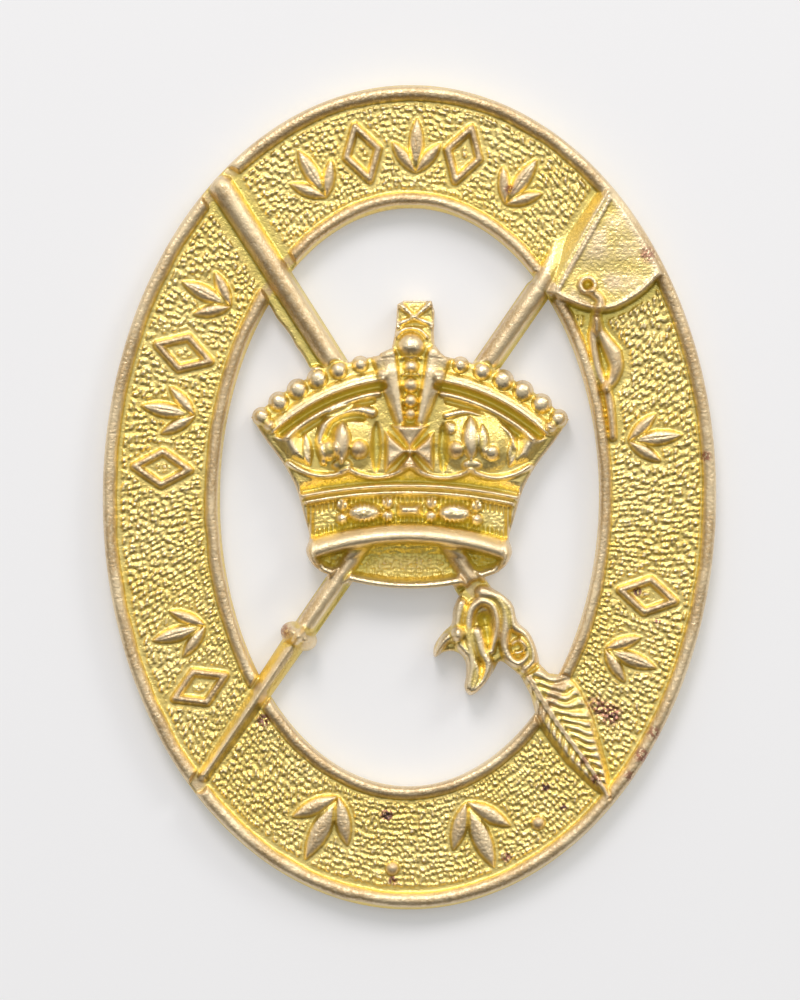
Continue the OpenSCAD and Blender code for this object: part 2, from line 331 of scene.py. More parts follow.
class Face:
    """The plate's face over a flat grid: heights, distance to the edge, its rounding, and wear."""

    def __init__(self):
        xs = np.arange(-HALF_W - 3 * GRID, HALF_W + 3 * GRID, GRID)
        ys = np.arange(-HALF_H - 3 * GRID, HALF_H + 3 * GRID, GRID)
        self.corner = np.array([xs[0], ys[0]])
        self.x, self.y = np.meshgrid(xs, ys)
        self.height = np.full(self.x.shape, SHEET)
        self.edge = np.full(self.x.shape, FAR)
        self.round = np.full(self.x.shape, 0.2)
        self.wear = np.zeros(self.x.shape)
        self.staffs = []

    def away(self, shape):
        """Distance from every point of the grid to a shape's edge, negative inside it."""
        return shape.distance(self.x, self.y)

    def noise(self, size, seed):
        return noise(self.x, self.y, size, seed)

    def grains(self, across, up, seed):
        return grains(self.x / across, self.y / up, seed)

    def lift(self, shapes, profile):
        """How far a profile stands up at each point, from 0 to 1, for all the shapes together."""
        total = np.zeros(self.x.shape)
        for shape in shapes:
            low = np.maximum(((shape.low - self.corner) / GRID).astype(int) - 1, 0)
            high = np.maximum(((shape.high - self.corner) / GRID).astype(int) + 3, 0)
            part = (slice(low[1], high[1]), slice(low[0], high[0]))
            here = profile(shape.distance(self.x[part], self.y[part]), shape.half)
            total[part] = np.maximum(total[part], here)
        return total

    def add(self, shapes, rise, profile=rounded, wear=0.0):
        """Raises the shapes; wear tells how much of the gilding is rubbed off their tops."""
        lift = self.lift(shapes, profile)
        self.height += rise * lift
        self.wear = np.maximum(self.wear * (1 - 0.5 * lift), wear * lift ** 3)

    def dome(self, shape, top, wear=0.0):
        """Swelling that starts at the sheet's surface and peaks at the given height."""
        lift = self.lift([shape], swelling)
        self.height = np.maximum(self.height, SHEET + (top - SHEET) * lift)
        self.wear = np.maximum(self.wear * (1 - lift), wear * lift)

    def rub(self, shapes, wear):
        self.wear = np.maximum(self.wear, wear * self.lift(shapes, swelling))

    def level(self, shapes, height, run=0.15):
        """Brings the ground inside the shapes to a height, over a short slope just outside them."""
        share = self.lift([shape.grown(run) for shape in shapes], raised(run))
        self.height += share * (height - self.height)

    def metal(self, shapes):
        """Adds the shapes to the plate."""
        for shape in shapes:
            self.edge = np.minimum(self.edge, self.away(shape))


def on_band(angle, across=0.0, along=0.0):
    """Point in the middle of the band, moved out and clockwise; the angle runs from the top."""
    mid = (np.array(BAND) + OPENING) / 2
    point = mid * unit(angle)
    out = unit(math.degrees(math.atan2(mid[1] * unit(angle)[0], mid[0] * unit(angle)[1])))
    return point + across * out + along * np.array([out[1], -out[0]])


def sprig(angle, height):
    """Three laurel leaves that spring from one foot, upright on the band."""
    foot = on_band(angle, -height / 2)
    tip = on_band(angle, height / 2)
    up = (tip - foot) / height
    side = np.array([up[1], -up[0]])
    leaves = [leaf(foot + 0.12 * height * up, tip, 0.27 * height)]
    fork = foot + 0.04 * height * up
    for hand in (-1, 1):
        lean = math.radians(hand * 38)
        way = math.cos(lean) * up + math.sin(lean) * side
        leaves.append(leaf(fork, fork + 0.68 * height * way, 0.22 * height))
    return leaves


def lozenge(angle, height):
    """Open diamond, upright on the band."""
    half = height / 2
    corners = [(half, 0), (0, 0.6 * half), (-half, 0), (0, -0.6 * half), (half, 0)]
    return stroke([on_band(angle, *corner) for corner in corners], 0.62)


def rims(face):
    """The two rounded rims, rubbed along their crests."""
    wobble = 0.04 * face.noise(1.3, 3)
    uneven = 0.03 * face.grains(0.2, 0.2, 7) + 0.04 * face.noise(2.1, 4)
    for crest, half in ((OUTER_CREST, 0.43), (INNER_CREST, 0.39)):
        ridge = rounded(np.abs(face.away(oval(*crest)) + wobble) - half, half)
        face.height += ridge * (RIM_RISE + uneven)
        face.wear = np.maximum(face.wear, 0.95 * ridge)


def grained_ground(face, kept_clear):
    """Pebbled ground between the rims, left smooth under the given shapes."""
    outer = face.away(oval(*GROUND_OUTSIDE))
    inner = -face.away(oval(*GROUND_INSIDE))
    clear = face.lift(kept_clear, raised(0.15))
    share = ramp(-outer / 0.12) * ramp(-inner / 0.12) * (1 - clear)
    turn = np.arctan2(face.x / (BAND[0] + OPENING[0]), face.y / (BAND[1] + OPENING[1]))
    lengthways = turn * (sum(BAND) + sum(OPENING)) / 4
    coarser_above = lengthways - 3.0 * np.sin(turn)
    row = outer / GRAIN_DEPTH + 0.4 * face.noise(1.1, 11)
    place = (coarser_above + 0.2 * outer) / GRAIN_LENGTH + 0.4 * face.noise(1.1, 12)
    grain = grains(row, place, 5)
    fine = grains(face.x / 0.19 + 0.3 * grain, face.y / 0.19, 6)
    face.height += share * (GRAIN_RISE * (grain ** 0.7 + 0.25 * fine) - 0.12)


def band(face):
    """The oval band: rims, grained ground, sprigs, lozenges and two pellets."""
    face.edge = np.maximum(face.away(oval((0, 0), *BAND)), -face.away(oval((0, 0), *OPENING)))
    rims(face)
    sprigs = [blade for angle in SMALL_SPRIGS for blade in sprig(angle, 3.4)]
    sprigs += [blade for angle in LARGE_SPRIGS for blade in sprig(angle, 4.4)]
    lozenges = [lozenge(angle, 3.2) for angle in LOZENGES]
    pellets = [disc(on_band(angle, 1.2), 0.42) for angle in PELLETS]
    staffs = [stroke([CARVED_TOP, 0.5 * (CARVED_TOP + CARVED_TIP)], 2.6, 2.4),
              stroke([FAN_TOP, FAN_TIP], 1.4, 1.1)]
    margins = ((sprigs + lozenges, 0.3), (pellets, 0.12), (staffs, 0.0),
               (CORD, 0.42), ([FAN], 0.4), ([FEATHER], 0.35))
    grained_ground(face, [shape.grown(by) for shapes, by in margins for shape in shapes])
    face.add(sprigs, ORNAMENT_RISE, wear=0.8)
    veins = [stroke([on_band(angle, -1.2), on_band(angle, 1.3)], 0.12) for angle in SMALL_SPRIGS]
    face.add(veins, -0.1, raised(0.06))
    face.add(lozenges, 0.9 * ORNAMENT_RISE, raised(0.24), wear=1.0)
    face.add(pellets, 0.5, wear=1.2)
    face.height += 0.05 * face.grains(0.19, 0.19, 8) * face.lift(sprigs + lozenges, raised(0.15))


# ---- staffs

FAN_ARC = [(14.6, 12.95), (13.6, 11.9), (12.27, 11.05), (11.25, 10.76), (10.1, 10.9), (8.8, 11.4),
           (8.05, 11.85)]
FAN = outline([(12.6, 20), (18, 15), (15.3, 13.7)] + curve(FAN_ARC, 4))
THIN_STRAND = bent([(10.75, 10.4), (10.62, 9.4), (10.75, 8.3), (11.0, 7.3), (11.38, 6.4)],
                   0.6, 0.55)
CORD = [bent([(10.45, 12.05), (11.0, 11.5), (10.8, 10.7), (10.95, 9.8)], 0.55, 0.65),
        bent([(10.95, 9.8), (11.35, 9.15), (11.8, 8.45)], 0.65, 1.05),
        bent([(11.8, 8.45), (11.97, 7.75), (11.8, 7.05), (11.42, 6.4)], 1.05, 0.6),
        bent([(11.42, 6.4), (11.6, 5.6), (11.72, 4.6), (11.8, 3.6)], 0.6, 0.5),
        THIN_STRAND]
FEATHER = outline([(6.1, -9.3), (7.4, -9.4), (8.2, -10.2), (9.2, -10.3), (9.95, -11.2),
                   (10.6, -12.5), (11.1, -14.1), (11.6, -15.9), (11.75, -17.4), (10.9, -16.8),
                   (9.3, -15.3), (8.15, -13.8), (7.5, -12.8), (7.15, -11.5), (6.5, -10.3)])


def carved_staff(face):
    """Straight staff from the upper left, with a thin uneven flange along its lower side."""
    end = CARVED_TOP + 0.74 * (CARVED_TIP - CARVED_TOP)
    shaft = stroke([CARVED_TOP, end], 1.45, 1.2)
    flange = stroke([CARVED_TOP + (-0.3, -0.25), end + (-0.25, -0.2)], 2.1, 1.6)

    def wavy(x, y):
        return flange.distance(x, y) + 0.07 * noise(x, y, 0.7, 15)

    face.level([stroke([CARVED_TOP, end], 2.5, 2.1)], SHEET)
    face.add([shaft], 0.95, wear=0.8)
    face.metal([shaft.grown(0.08), Shape(flange.low, flange.high, 1.0, wavy)])
    face.staffs.append(shaft)
    face.rub([stroke([CARVED_TOP + (-0.3, -0.2), end + (-0.3, -0.2)], 0.8, 0.7)], 1.1)


HEAD = curve([(3.7, -4.9), (2.95, -5.7), (2.6, -6.5), (2.5, -7.35), (2.02, -7.85), (1.52, -8.6),
              (1.52, -9.3), (2.1, -8.98), (2.85, -9.0), (3.3, -9.5), (3.38, -10.3), (3.28, -11.05),
              (3.63, -11.5), (4.27, -11.07), (4.95, -10.1), (5.35, -9.5), (6.0, -9.9), (6.6, -10.3),
              (7.55, -9.75), (7.45, -8.8), (7.02, -7.83), (6.34, -7.18), (6.05, -6.2), (5.5, -5.65),
              (4.8, -5.2), (4.4, -4.7)], 4)
HEAD_RIDGES = [
    [(3.46, -10.95), (3.71, -9.8), (3.55, -8.5), (3.46, -7.35), (3.63, -6.5), (4.19, -6.0),
     (4.8, -6.2), (5.1, -6.9), (5.1, -7.8), (4.8, -8.9)],
    [(4.27, -5.5), (5.05, -5.7), (5.55, -6.4), (5.65, -7.35), (5.55, -8.3), (5.8, -9.2),
     (6.38, -9.6), (6.9, -9.2), (6.9, -8.6), (6.55, -8.2)],
    [(5.3, -5.6), (6.0, -6.5), (6.15, -7.4), (6.75, -7.85), (7.2, -8.6), (7.25, -9.4),
     (6.75, -9.95)],
    [(2.98, -6.2), (2.82, -7.35), (3.0, -8.45), (3.75, -9.4), (4.0, -10.25), (3.72, -11.2)],
    [(3.95, -7.85), (4.25, -8.9), (4.62, -9.6), (4.45, -10.5), (3.9, -11.15)],
]
HORN = [(2.9, -7.9), (2.2, -8.2), (1.8, -8.75), (1.62, -9.15)]


def carved_head(face):
    """Bird-like head in profile: eye, horn, beak with flowing ridges, and curls behind."""
    profile = outline(HEAD)
    face.metal([profile])
    face.round = np.where(face.away(profile) < 0.1, 0.35, face.round)
    face.level([profile], HEAD_LEVEL)
    face.add([bent(ridge, 0.85, 0.5) for ridge in HEAD_RIDGES], 0.6)
    face.add([bent(HORN, 0.85, 0.25)], 0.6)
    face.add([stroke(arc((6.35, -8.65), 0.35, -60, 200, 12), 0.26)], 0.45)
    eye = (4.42, -7.05)
    for hollow in (stroke([eye, (4.75, -8.8)], 0.95, 0.3), disc(eye, 0.45)):
        face.add([hollow], -0.3, swelling)


MIDRIB = curve([(6.5, -9.5), (6.86, -10.1), (7.66, -11.5), (8.64, -13.0), (9.77, -14.5),
                (10.9, -16.1), (11.65, -17.3)])


def feather(face):
    """Feather that hangs below the head, with a midrib and slanted barbs, pointed on the outer rim."""
    face.metal([FEATHER])
    face.level([FEATHER], FEATHER_LEVEL)
    share = face.lift([FEATHER], raised(0.25))
    start, end = np.array(MIDRIB[0]), np.array(MIDRIB[-1])
    along = (end - start) / np.hypot(*(end - start))
    dx, dy = face.x - start[0], face.y - start[1]
    run = dx * along[0] + dy * along[1]
    right = dx * along[1] - dy * along[0] < 0
    away = np.minimum(face.away(stroke(MIDRIB, 0.02)), 3)
    phase = (run - 1.25 * away + 0.25 * away ** 2) / 0.62 + 0.4 * right + 0.3 * face.noise(0.7, 24)
    barbs = 1 - np.abs(phase % 1 - 0.5) * 2
    across = np.clip(away / np.where(right, 1.6, 1.1), 0, 1)
    swell = np.where(right, 0.3, 0.22) * np.sin(across * math.pi)
    face.height += share * (swell + 0.18 * ramp(barbs * 1.4) * ramp(away / 0.25))
    face.add([stroke(MIDRIB, 0.42, 0.3)], 0.35, wear=0.7)


def fan_staff(face):
    """Straight staff with a fan-shaped blade at its upper end and a collar low down."""
    line = FAN_TIP - FAN_TOP
    length = np.hypot(*line)
    knob = FAN_TOP + line * (31.4 / length)
    below_fan = np.array([7.3, 12.0])
    shaft = stroke([below_fan, knob], 1.3, 1.12)
    point = stroke([knob, FAN_TIP + line * -0.015], 1.4, 0.8)
    face.level([stroke([below_fan, knob], 2.1, 1.8), stroke([knob, FAN_TIP], 1.4, 0.9)], SHEET)
    face.metal([shaft.grown(0.08), stroke([knob, FAN_TIP], 1.4, 1.0),
                stroke([FAN_TOP + (0.22, -0.15), knob + (0.15, -0.1)], 1.5, 1.2)])
    face.add([shaft], 0.9, wear=0.5)
    face.add([point], 0.8, roof, wear=1.1)
    face.staffs += [shaft, point]
    face.rub([stroke([below_fan + (-0.35, 0.22), knob + (-0.3, 0.2)], 0.9, 0.8)], 1.2)
    bulge = oval(knob, 1.12, 0.76, -28)
    face.metal([bulge])
    face.dome(bulge.grown(0.12), SHEET + 1.2, wear=0.2)
    face.add([oval(knob + (0.05, 0.1), 0.7, 0.34, -28)], 0.25, wear=0.6)
    face.rub([disc(knob + (-0.7, 0.3), 0.5)], 1.2)


def fan_slope(face):
    """Flat slope beside the fan's straight edge, with a crest that grows into the shaft at its foot."""
    top, foot = FAN_EDGE
    length = np.hypot(*(foot - top))
    way = (foot - top) / length
    dx, dy = face.x - top[0], face.y - top[1]
    along = (dx * way[0] + dy * way[1]) / length
    beside = dx * way[1] - dy * way[0]
    slope = 0.8 * np.clip(1 - beside / (0.5 + 0.6 * along), 0, 1)
    crest = 0.88 * ramp((along - 0.45) / 0.5) * rounded(np.abs(beside - 0.68) - 0.62, 0.62)
    surface = SHEET + np.maximum(slope, crest)
    here = (along > 0) & (along < 1) & (beside > -0.2)
    face.height = np.where(here, np.maximum(face.height, surface), face.height)


def fan(face):
    """Flat blade of the fan staff, with its edge and its hole."""
    outside = face.away(FAN)
    margin = face.away(oval((0, 0), BAND[0] - 0.22, BAND[1] - 0.22))
    share = ramp(-np.maximum(outside, margin) / 0.25)
    blade = FAN_LEVEL - 0.03 * (face.y - 11)
    face.height += share * (blade - face.height)
    face.wear = np.where(share > 0.5, 0.4 + 0.3 * face.noise(0.9, 23), face.wear)
    lip = np.maximum(np.abs(outside + 0.3) - 0.16, margin + 0.2)
    face.height += 0.12 * rounded(lip, 0.16)
    face.height += share * (0.045 * face.grains(0.2, 0.2, 21) + 0.05 * face.noise(1.2, 22))
    hole = np.array([10.26, 12.4])
    ring = np.abs(np.hypot(face.x - hole[0], face.y - hole[1]) - 0.42) - 0.17
    face.height += 0.3 * rounded(ring, 0.17)
    face.add([disc(hole, 0.3)], -0.35)


def cord(face):
    """Twisted cord that hangs from the fan's hole, on a smooth bed."""
    bed = outline([(10.75, 10.5), (12.6, 8.6), (12.6, 7.0), (11.6, 5.6), (10.9, 8.0)])
    face.level([bed], SHEET - 0.05, 0.3)
    face.add(CORD[:-1], 0.6, wear=0.9)
    face.add([THIN_STRAND], 0.5, wear=0.6)


# ---- crown

def mirrored(points):
    """The same line on the other side of the crown."""
    return [(-x, y) for x, y in points]


CROWN = outline(arc(ARCH_CENTRE, ARCH_OUTER, -44, 44, 30) + curve(CROWN_SIDE, 4)
                + arc(LIP_CENTRE, -LIP_R, -21, 21) + curve(mirrored(CROWN_SIDE)[::-1], 4))
FINIAL = outline([(-2.0, 7.9), (-1.75, 8.35), (-1.1, 8.65), (-0.95, 9.3), (-0.85, 10.0),
                  (-0.78, 11.2), (-0.4, 11.42), (1.2, 11.42), (1.38, 10.8), (1.35, 9.6),
                  (1.4, 8.9), (1.75, 8.4), (2.4, 7.9)])
BELOW_RIM = outline(arc(RIM_CENTRE, RIM_R - 0.97, -20, 20) + [(6.2, -7), (-6.2, -7)])


def crown_body(face):
    """The crown's outline, scalloped by its pearls, and its bulging surface."""
    parts = [CROWN, FINIAL] + [pearl.grown(0.08) for pearl in arch_pearls()]
    face.metal(parts)
    away = np.full(face.x.shape, FAR)
    for part in parts:
        away = np.minimum(away, face.away(part))
    face.round = np.where(away < 0.1, 0.35, face.round)
    cover = ramp((0.2 - away) / 0.15) * (1 - face.lift([BELOW_RIM], raised(0.1)))
    bulge = CROWN_LEVEL + CROWN_BULGE * (1 - np.clip(np.abs(face.x) / CROWN_HALF_W, 0, 1) ** 2)
    face.height += cover * (bulge - face.height)
    face.wear *= 1 - cover


def crown_underside(face):
    """Open underside: a ribbed inner wall between the lower rim and a bright bottom lip."""
    below = face.lift([BELOW_RIM], raised(0.05)) * ramp((0.15 - face.away(CROWN)) / 0.1)
    ribs = 0.05 * np.cos(face.x * math.tau / 0.24) + 0.15 * face.grains(0.24, 0.22, 31)
    wall = np.maximum(UNDERSIDE_LEVEL + ribs, face.staff_height)
    face.height += below * (wall - face.height)
    face.round = np.where(below > 0, 0.14, face.round)
    side_lip = [(5.75, -2.6), (5.7, -3.5), (4.9, -4.25)]
    lips = [bent(side, 0.75) for side in (side_lip, mirrored(side_lip))]
    lips.append(stroke(arc(LIP_CENTRE, 0.16 - LIP_R, -20.5, 20.5), 0.95))
    under_staffs = face.lift([staff.grown(-0.1) for staff in face.staffs], raised(0.2))
    over = face.lift(lips, swelling) * (1 - under_staffs)
    face.height += over * np.maximum(LIP_LEVEL - face.height, 0)


def arch_pearls():
    """Pearls along the top edge of the two half arches, with a small one at each tip."""
    sizes = (0.45, 0.5, 0.58, 0.58, 0.56, 0.5)
    pearls = []
    for hand in (-1, 1):
        for i, radius in enumerate(sizes):
            pearls.append(disc(ARCH_CENTRE + 12.62 * unit(hand * (13.3 + 5.95 * i)), radius))
        pearls.append(disc(ARCH_CENTRE + 12.05 * unit(hand * 43.0), 0.36))
    return pearls


def arches(face):
    """Two half arches edged with pearls, with grooves and ridges inside them."""
    face.add([stroke(arc(ARCH_CENTRE, 12.6, -44, 44, 40), 1.3)], -0.15, swelling)
    face.add(arch_pearls(), 0.62)
    # radius, first and last angle, width, rise, section
    mouldings = ((11.75, 8, 43.5, 0.75, 0.3, swelling), (11.52, 8, 43.5, 0.24, 0.22, rounded),
                 (11.15, 8, 42.5, 0.5, -0.45, swelling), (10.78, 10, 41.5, 0.42, 0.32, rounded),
                 (10.4, 12, 38, 0.4, -0.25, swelling))
    for hand in (-1, 1):
        for radius, start, end, width, rise, section in mouldings:
            line = arc(ARCH_CENTRE, radius, hand * start, hand * end)
            face.add([stroke(line, width)], rise, section)


def centre_arch(face):
    """Front arch: a column of beads between two petals, and a collar above it."""
    petals = [curve([(-1.5, 8.1), (-1.25, 7.0), (-0.92, 5.8), (-0.6, 4.5)]),
              curve([(1.6, 8.1), (1.35, 7.0), (1.0, 5.8), (0.64, 4.5)])]
    face.add([stroke([(0.05, 8.1), (0.02, 4.4)], 3.4, 1.8)], 0.3, swelling)
    face.add([stroke(petal, 1.5, 0.75) for petal in petals], 0.6, wear=0.5)
    face.level([stroke([(0.02, 6.9), (0.02, 4.6)], 0.85, 0.6)], 1.9, 0.1)
    beads = ((6.5, 0.48, 0.48), (5.6, 0.43, 0.44), (4.85, 0.36, 0.38))
    face.add([oval((0.02, y), half_w, half_h) for y, half_w, half_h in beads], 0.75, wear=0.4)
    bars = [stroke([(-0.45, 7.12), (0.5, 7.12)], 0.2), stroke([(-0.5, 8.08), (0.55, 8.08)], 0.24)]
    face.add(bars, 0.3)
    face.add([disc((0.04, 7.62), 0.44)], 0.65)


def orb_and_finial(face):
    """Orb on top of the arches, with a small square finial crossed by ribs."""
    orb = (0.04, 8.8)
    face.add([disc((0.04, 8.85), 1.1)], -0.1, raised(0.3))
    face.add([disc(orb, 0.78)], 0.85)
    face.add([stroke(arc(orb, 1.02, -62, 62, 12), 0.24)], 0.28)
    panel = outline([(-0.75, 9.95), (1.25, 9.95), (1.15, 11.3), (-0.65, 11.3)])
    face.level([panel], 1.55, 0.1)
    hub = (0.2, 10.45)
    corners = [(-0.75, 11.3), (1.2, 11.3), (1.3, 10.0), (-0.8, 10.0)]
    face.add([stroke([hub, corner], 0.3, 0.42) for corner in corners], 0.35)
    face.add([disc(hub, 0.26)], 0.25)
    face.height += 0.06 * face.lift([panel], raised(0.1)) * face.grains(0.16, 0.16, 35)


def cross(face):
    """Cross with four wedge-shaped arms and a centre boss, on the front of the crown."""
    middle = np.array([0.0, 2.68])
    for turn, reach, half in ((0, 1.55, 1.15), (90, 1.4, 1.2), (180, 1.1, 0.8), (270, 1.45, 1.25)):
        way = unit(turn)
        side = np.array([way[1], -way[0]])
        arm = outline([middle + 0.02 * way, middle + reach * way + half * side,
                       middle + reach * way - half * side], half=0.42)
        face.add([arm.grown(0.05)], 0.7, raised(0.28), wear=0.8)
        face.add([stroke([middle + 0.5 * way, middle + reach * way], 0.1, 1.0)], -0.08, swelling)
    face.add([disc(middle, 0.3)], 0.45)
    face.add([oval((hand * 1.95, 2.9), 0.34, 1.5) for hand in (-1, 1)], -0.25, swelling)


def fleurs(face):
    """A lily on each side of the cross, the left one in a hood and the right one on a bulge."""
    hood_hollow = curve([(-2.75, 4.6), (-3.6, 4.55), (-4.4, 4.2), (-4.75, 3.5)])
    hood_edge = curve([(-2.2, 4.9), (-3.35, 5.12), (-4.4, 4.85), (-5.0, 4.1), (-5.25, 3.1),
                       (-5.0, 2.0)])
    right_edge = curve([(2.1, 4.75), (3.3, 4.98), (4.6, 4.75), (5.7, 3.9), (6.1, 2.9)])
    face.add([oval((3.95, 3.1), 2.15, 1.85)], 0.6, swelling)
    face.add([oval((-3.8, 3.1), 1.75, 1.85)], 0.4, swelling)
    face.add([stroke(hood_hollow, 0.5, 0.3)], -0.3, swelling)
    face.add([stroke(hood_edge, 0.62, 0.4)], 0.4)
    face.add([stroke(right_edge, 0.4, 0.25)], 0.28)
    # petals and pearls: shape, rise, wear
    devices = (
        (leaf((-3.92, 4.45), (-3.95, 1.9), 1.1), 0.75, 0.4),
        (disc((-4.68, 2.72), 0.6), 0.6, 0.0),
        (disc((-2.95, 2.78), 0.55), 0.62, 1.3),
        (oval((-3.92, 1.85), 0.6, 0.4), 0.35, 0.0),
        (leaf((3.52, 4.8), (3.56, 2.1), 1.05), 0.5, 0.3),
        (leaf((4.2, 4.3), (4.3, 2.3), 0.7), 0.35, 0.0),
        (disc((2.3, 4.05), 0.4), 0.4, 0.0),
        (disc((4.75, 2.6), 0.45), 0.4, 0.0),
        (disc((2.66, 2.78), 0.5), 0.55, 1.3),
        (oval((3.6, 1.9), 0.6, 0.36), 0.35, 0.0),
    )
    for shape, rise, wear in devices:
        face.add([shape], rise, wear=wear)


def side_leaves(face):
    """Wedge-shaped leaf and a small petal at each side of the crown."""
    wedge = [(6.65, 4.25), (8.1, 3.5), (7.0, 2.1), (5.6, 1.75)]
    petal = [(6.1, 3.75), (5.8, 1.75)]
    for side_of in (mirrored, list):
        face.add([outline(side_of(wedge), half=0.75)], 0.62, roof, wear=0.4)
        face.add([leaf(*side_of(petal), 0.6)], 0.35)


def festoons(face):
    """Scalloped edge of the cap, hanging between the devices, above a hollow dark strip."""
    hooks = (((-7.0, 1.95), (-3.55, 1.55)), ((-3.45, 1.55), (-0.1, 1.75)),
             ((0.1, 1.75), (3.45, 1.55)), ((3.55, 1.55), (6.95, 1.85)))
    sag = 2.1
    swags = []
    for (x0, y0), (x1, y1) in hooks:
        swags.append([(x0 + (x1 - x0) * t, y0 + (y1 - y0) * t - sag * t * (1 - t))
                      for t in np.linspace(0, 1, 13)])
    top_centre, top_r = np.array([0.0, -28.4]), 30.1
    strip = outline(arc(top_centre, top_r, -12.5, 12.5)
                    + arc(CIRCLET_CENTRE, CIRCLET_R + 0.15, 12, -12))
    below_top = top_r - np.hypot(face.x - top_centre[0], face.y - top_centre[1])
    pits = 0.07 * face.grains(0.2, 0.2, 36)
    face.height += face.lift([strip], raised(0.12)) * (pits - 0.5 * ramp(below_top))
    face.add([stroke(swag, 0.36) for swag in swags], 0.42)


def circlet(face):
    """Band of the crown: a double ridge above a ribbed field that is grained toward its ends."""
    face.add([stroke(arc(CIRCLET_CENTRE, CIRCLET_R + 0.08, -12, 12), 0.34)], 0.42)
    face.add([stroke(arc(CIRCLET_CENTRE, CIRCLET_R - 0.32, -11.5, 11.5), 0.28)], 0.3)
    field = outline(arc(CIRCLET_CENTRE, CIRCLET_R - 0.5, -11.8, 11.8)
                    + arc(RIM_CENTRE, RIM_R, 20, -20))
    inside = face.lift([field], raised(0.12))
    edge = -face.away(field)
    ribs = 0.13 * np.cos(face.x * math.tau / 0.26) * ramp((0.6 - edge) / 0.2) * ramp(edge / 0.1)
    pits = 0.08 * face.grains(0.24, 0.22, 33) * ramp((edge - 0.4) / 0.2)
    face.height += inside * (ribs + pits - 0.15)


def jewels(face):
    """Jewels of the circlet: an oval one on each side, pearls between, an oblong one in the middle."""
    for hand in (-1, 1):
        centre = (hand * 2.62, -0.93)
        face.add([oval(centre, 1.12, 0.7)], 0.2, raised(0.12))
        face.add([oval(centre, 0.95, 0.57)], 0.62)
        for x, top, bottom in ((1.26, -0.32, -1.1), (3.9, -0.48, -1.26)):
            face.add([disc((hand * x, y), 0.38) for y in (top, bottom)], 0.58)
    plate = outline([(-0.78, -0.3), (0.8, -0.3), (0.8, -1.2), (-0.78, -1.2)], half=0.4)
    stone = outline([(-0.62, -0.42), (0.64, -0.42), (0.64, -1.08), (-0.62, -1.08)], half=0.3)
    face.add([plate], 0.25, raised(0.12))
    face.add([stone], 0.5, raised(0.22))


def lower_rim(face):
    """Heavy rolled rim along the bottom of the circlet, turned in at its ends."""
    face.add([stroke(arc(RIM_CENTRE, RIM_R - 0.9, -18, 18), 1.5)], 0.35, swelling)
    end = [(5.3, -2.95), (5.62, -3.3), (5.5, -3.95)]
    roll = [bent(side, 1.25, 0.6) for side in (end, mirrored(end))]
    roll.append(stroke(arc(RIM_CENTRE, RIM_R - 0.5, -18.2, 18.2), 1.25))
    face.add(roll, 0.85, wear=0.4)


def crown(face):
    """The whole crown, on top of the crossed staffs."""
    face.staff_height = face.height.copy()
    for part in (crown_body, crown_underside, arches, centre_arch, orb_and_finial, fleurs,
                 side_leaves, cross, festoons, circlet, jewels, lower_rim):
        part(face)


# ---- plate mesh

def struck_face():
    """Every part of the face in the order that it lies, with the worn and rounded edges."""
    face = Face()
    for part in (band, carved_staff, fan_staff, fan_slope, fan, cord, feather, carved_head, crown):
        part(face)
    face.edge = np.maximum(face.edge, face.away(oval((0, 0), *BAND)))
    face.height += 0.012 * face.noise(0.35, 41) + 0.02 * face.noise(1.7, 42)
    face.height = 0.5 * (face.height + blurred(face.height, 1))
    face.wear = np.maximum(face.wear, 0.5 * ramp((face.edge + 0.2) / 0.2))
    inset = np.clip(face.round + face.edge, 0, face.round)
    face.drop = face.round - np.sqrt(face.round ** 2 - inset ** 2)
    return face


def back_depth(face):
    """Depth of the hollows that the striking leaves in the back, 0 on the flat that meets the cap."""
    outer = face.away(oval((0, 0), *BAND))
    inner = -face.away(oval((0, 0), *OPENING))
    relief = blurred(face.height, 4) - SHEET - 0.15
    between_rims = ramp((-outer - 0.85) / 0.3) * ramp((-inner - 0.85) / 0.3)
    channel = between_rims * (CHANNEL_DEPTH + np.clip(0.7 * relief, 0, 0.35))
    hollow = np.clip(0.75 * relief, 0, 1.0) * ramp((-face.edge - 0.35) / 0.5) * ramp(inner / 0.6)
    edge = 0.12 * ramp((0.15 + face.edge) / 0.15)
    return np.maximum(channel, hollow) + edge


def contour_cells(inside):
    """Polygons that fill the inside of a grid, cut along the line between inside and outside points.

    Returns polygons of vertex numbers, the edges of the cut, and for each vertex the two grid
    points that it lies between (the same point twice for a grid point).
    """
    number = np.arange(inside.size).reshape(inside.shape)
    quarters = [(slice(None, -1), slice(None, -1)), (slice(None, -1), slice(1, None)),
                (slice(1, None), slice(1, None)), (slice(1, None), slice(None, -1))]
    corners = [number[part] for part in quarters]
    states = [inside[part] for part in quarters]
    full = np.logical_and.reduce(states)
    mixed = np.logical_or.reduce(states) & ~full

    used = np.unique([corner[full] for corner in corners])
    vertex_of = np.zeros(inside.size, int)
    vertex_of[used] = np.arange(len(used))
    polygons = vertex_of[np.stack([corner[full] for corner in corners], axis=1)].tolist()
    pairs = {(point, point): i for i, point in enumerate(used.tolist())}

    def vertex(a, b):
        return pairs.setdefault((min(a, b), max(a, b)), len(pairs))

    links = []
    cells = np.stack([corner[mixed] for corner in corners], axis=1).tolist()
    flags = np.stack([state[mixed] for state in states], axis=1).tolist()
    for cell, flag in zip(cells, flags):
        polygon, entries = [], []
        for k in range(4):
            after = (k + 1) % 4
            if flag[k]:
                polygon.append(vertex(cell[k], cell[k]))
            if flag[k] != flag[after]:
                polygon.append(vertex(cell[k], cell[after]))
                if flag[after]:
                    entries.append(polygon[-1])
        polygons.append(polygon)
        links += [(polygon[polygon.index(entry) - 1], entry) for entry in entries]
    return polygons, links, np.array(list(pairs))


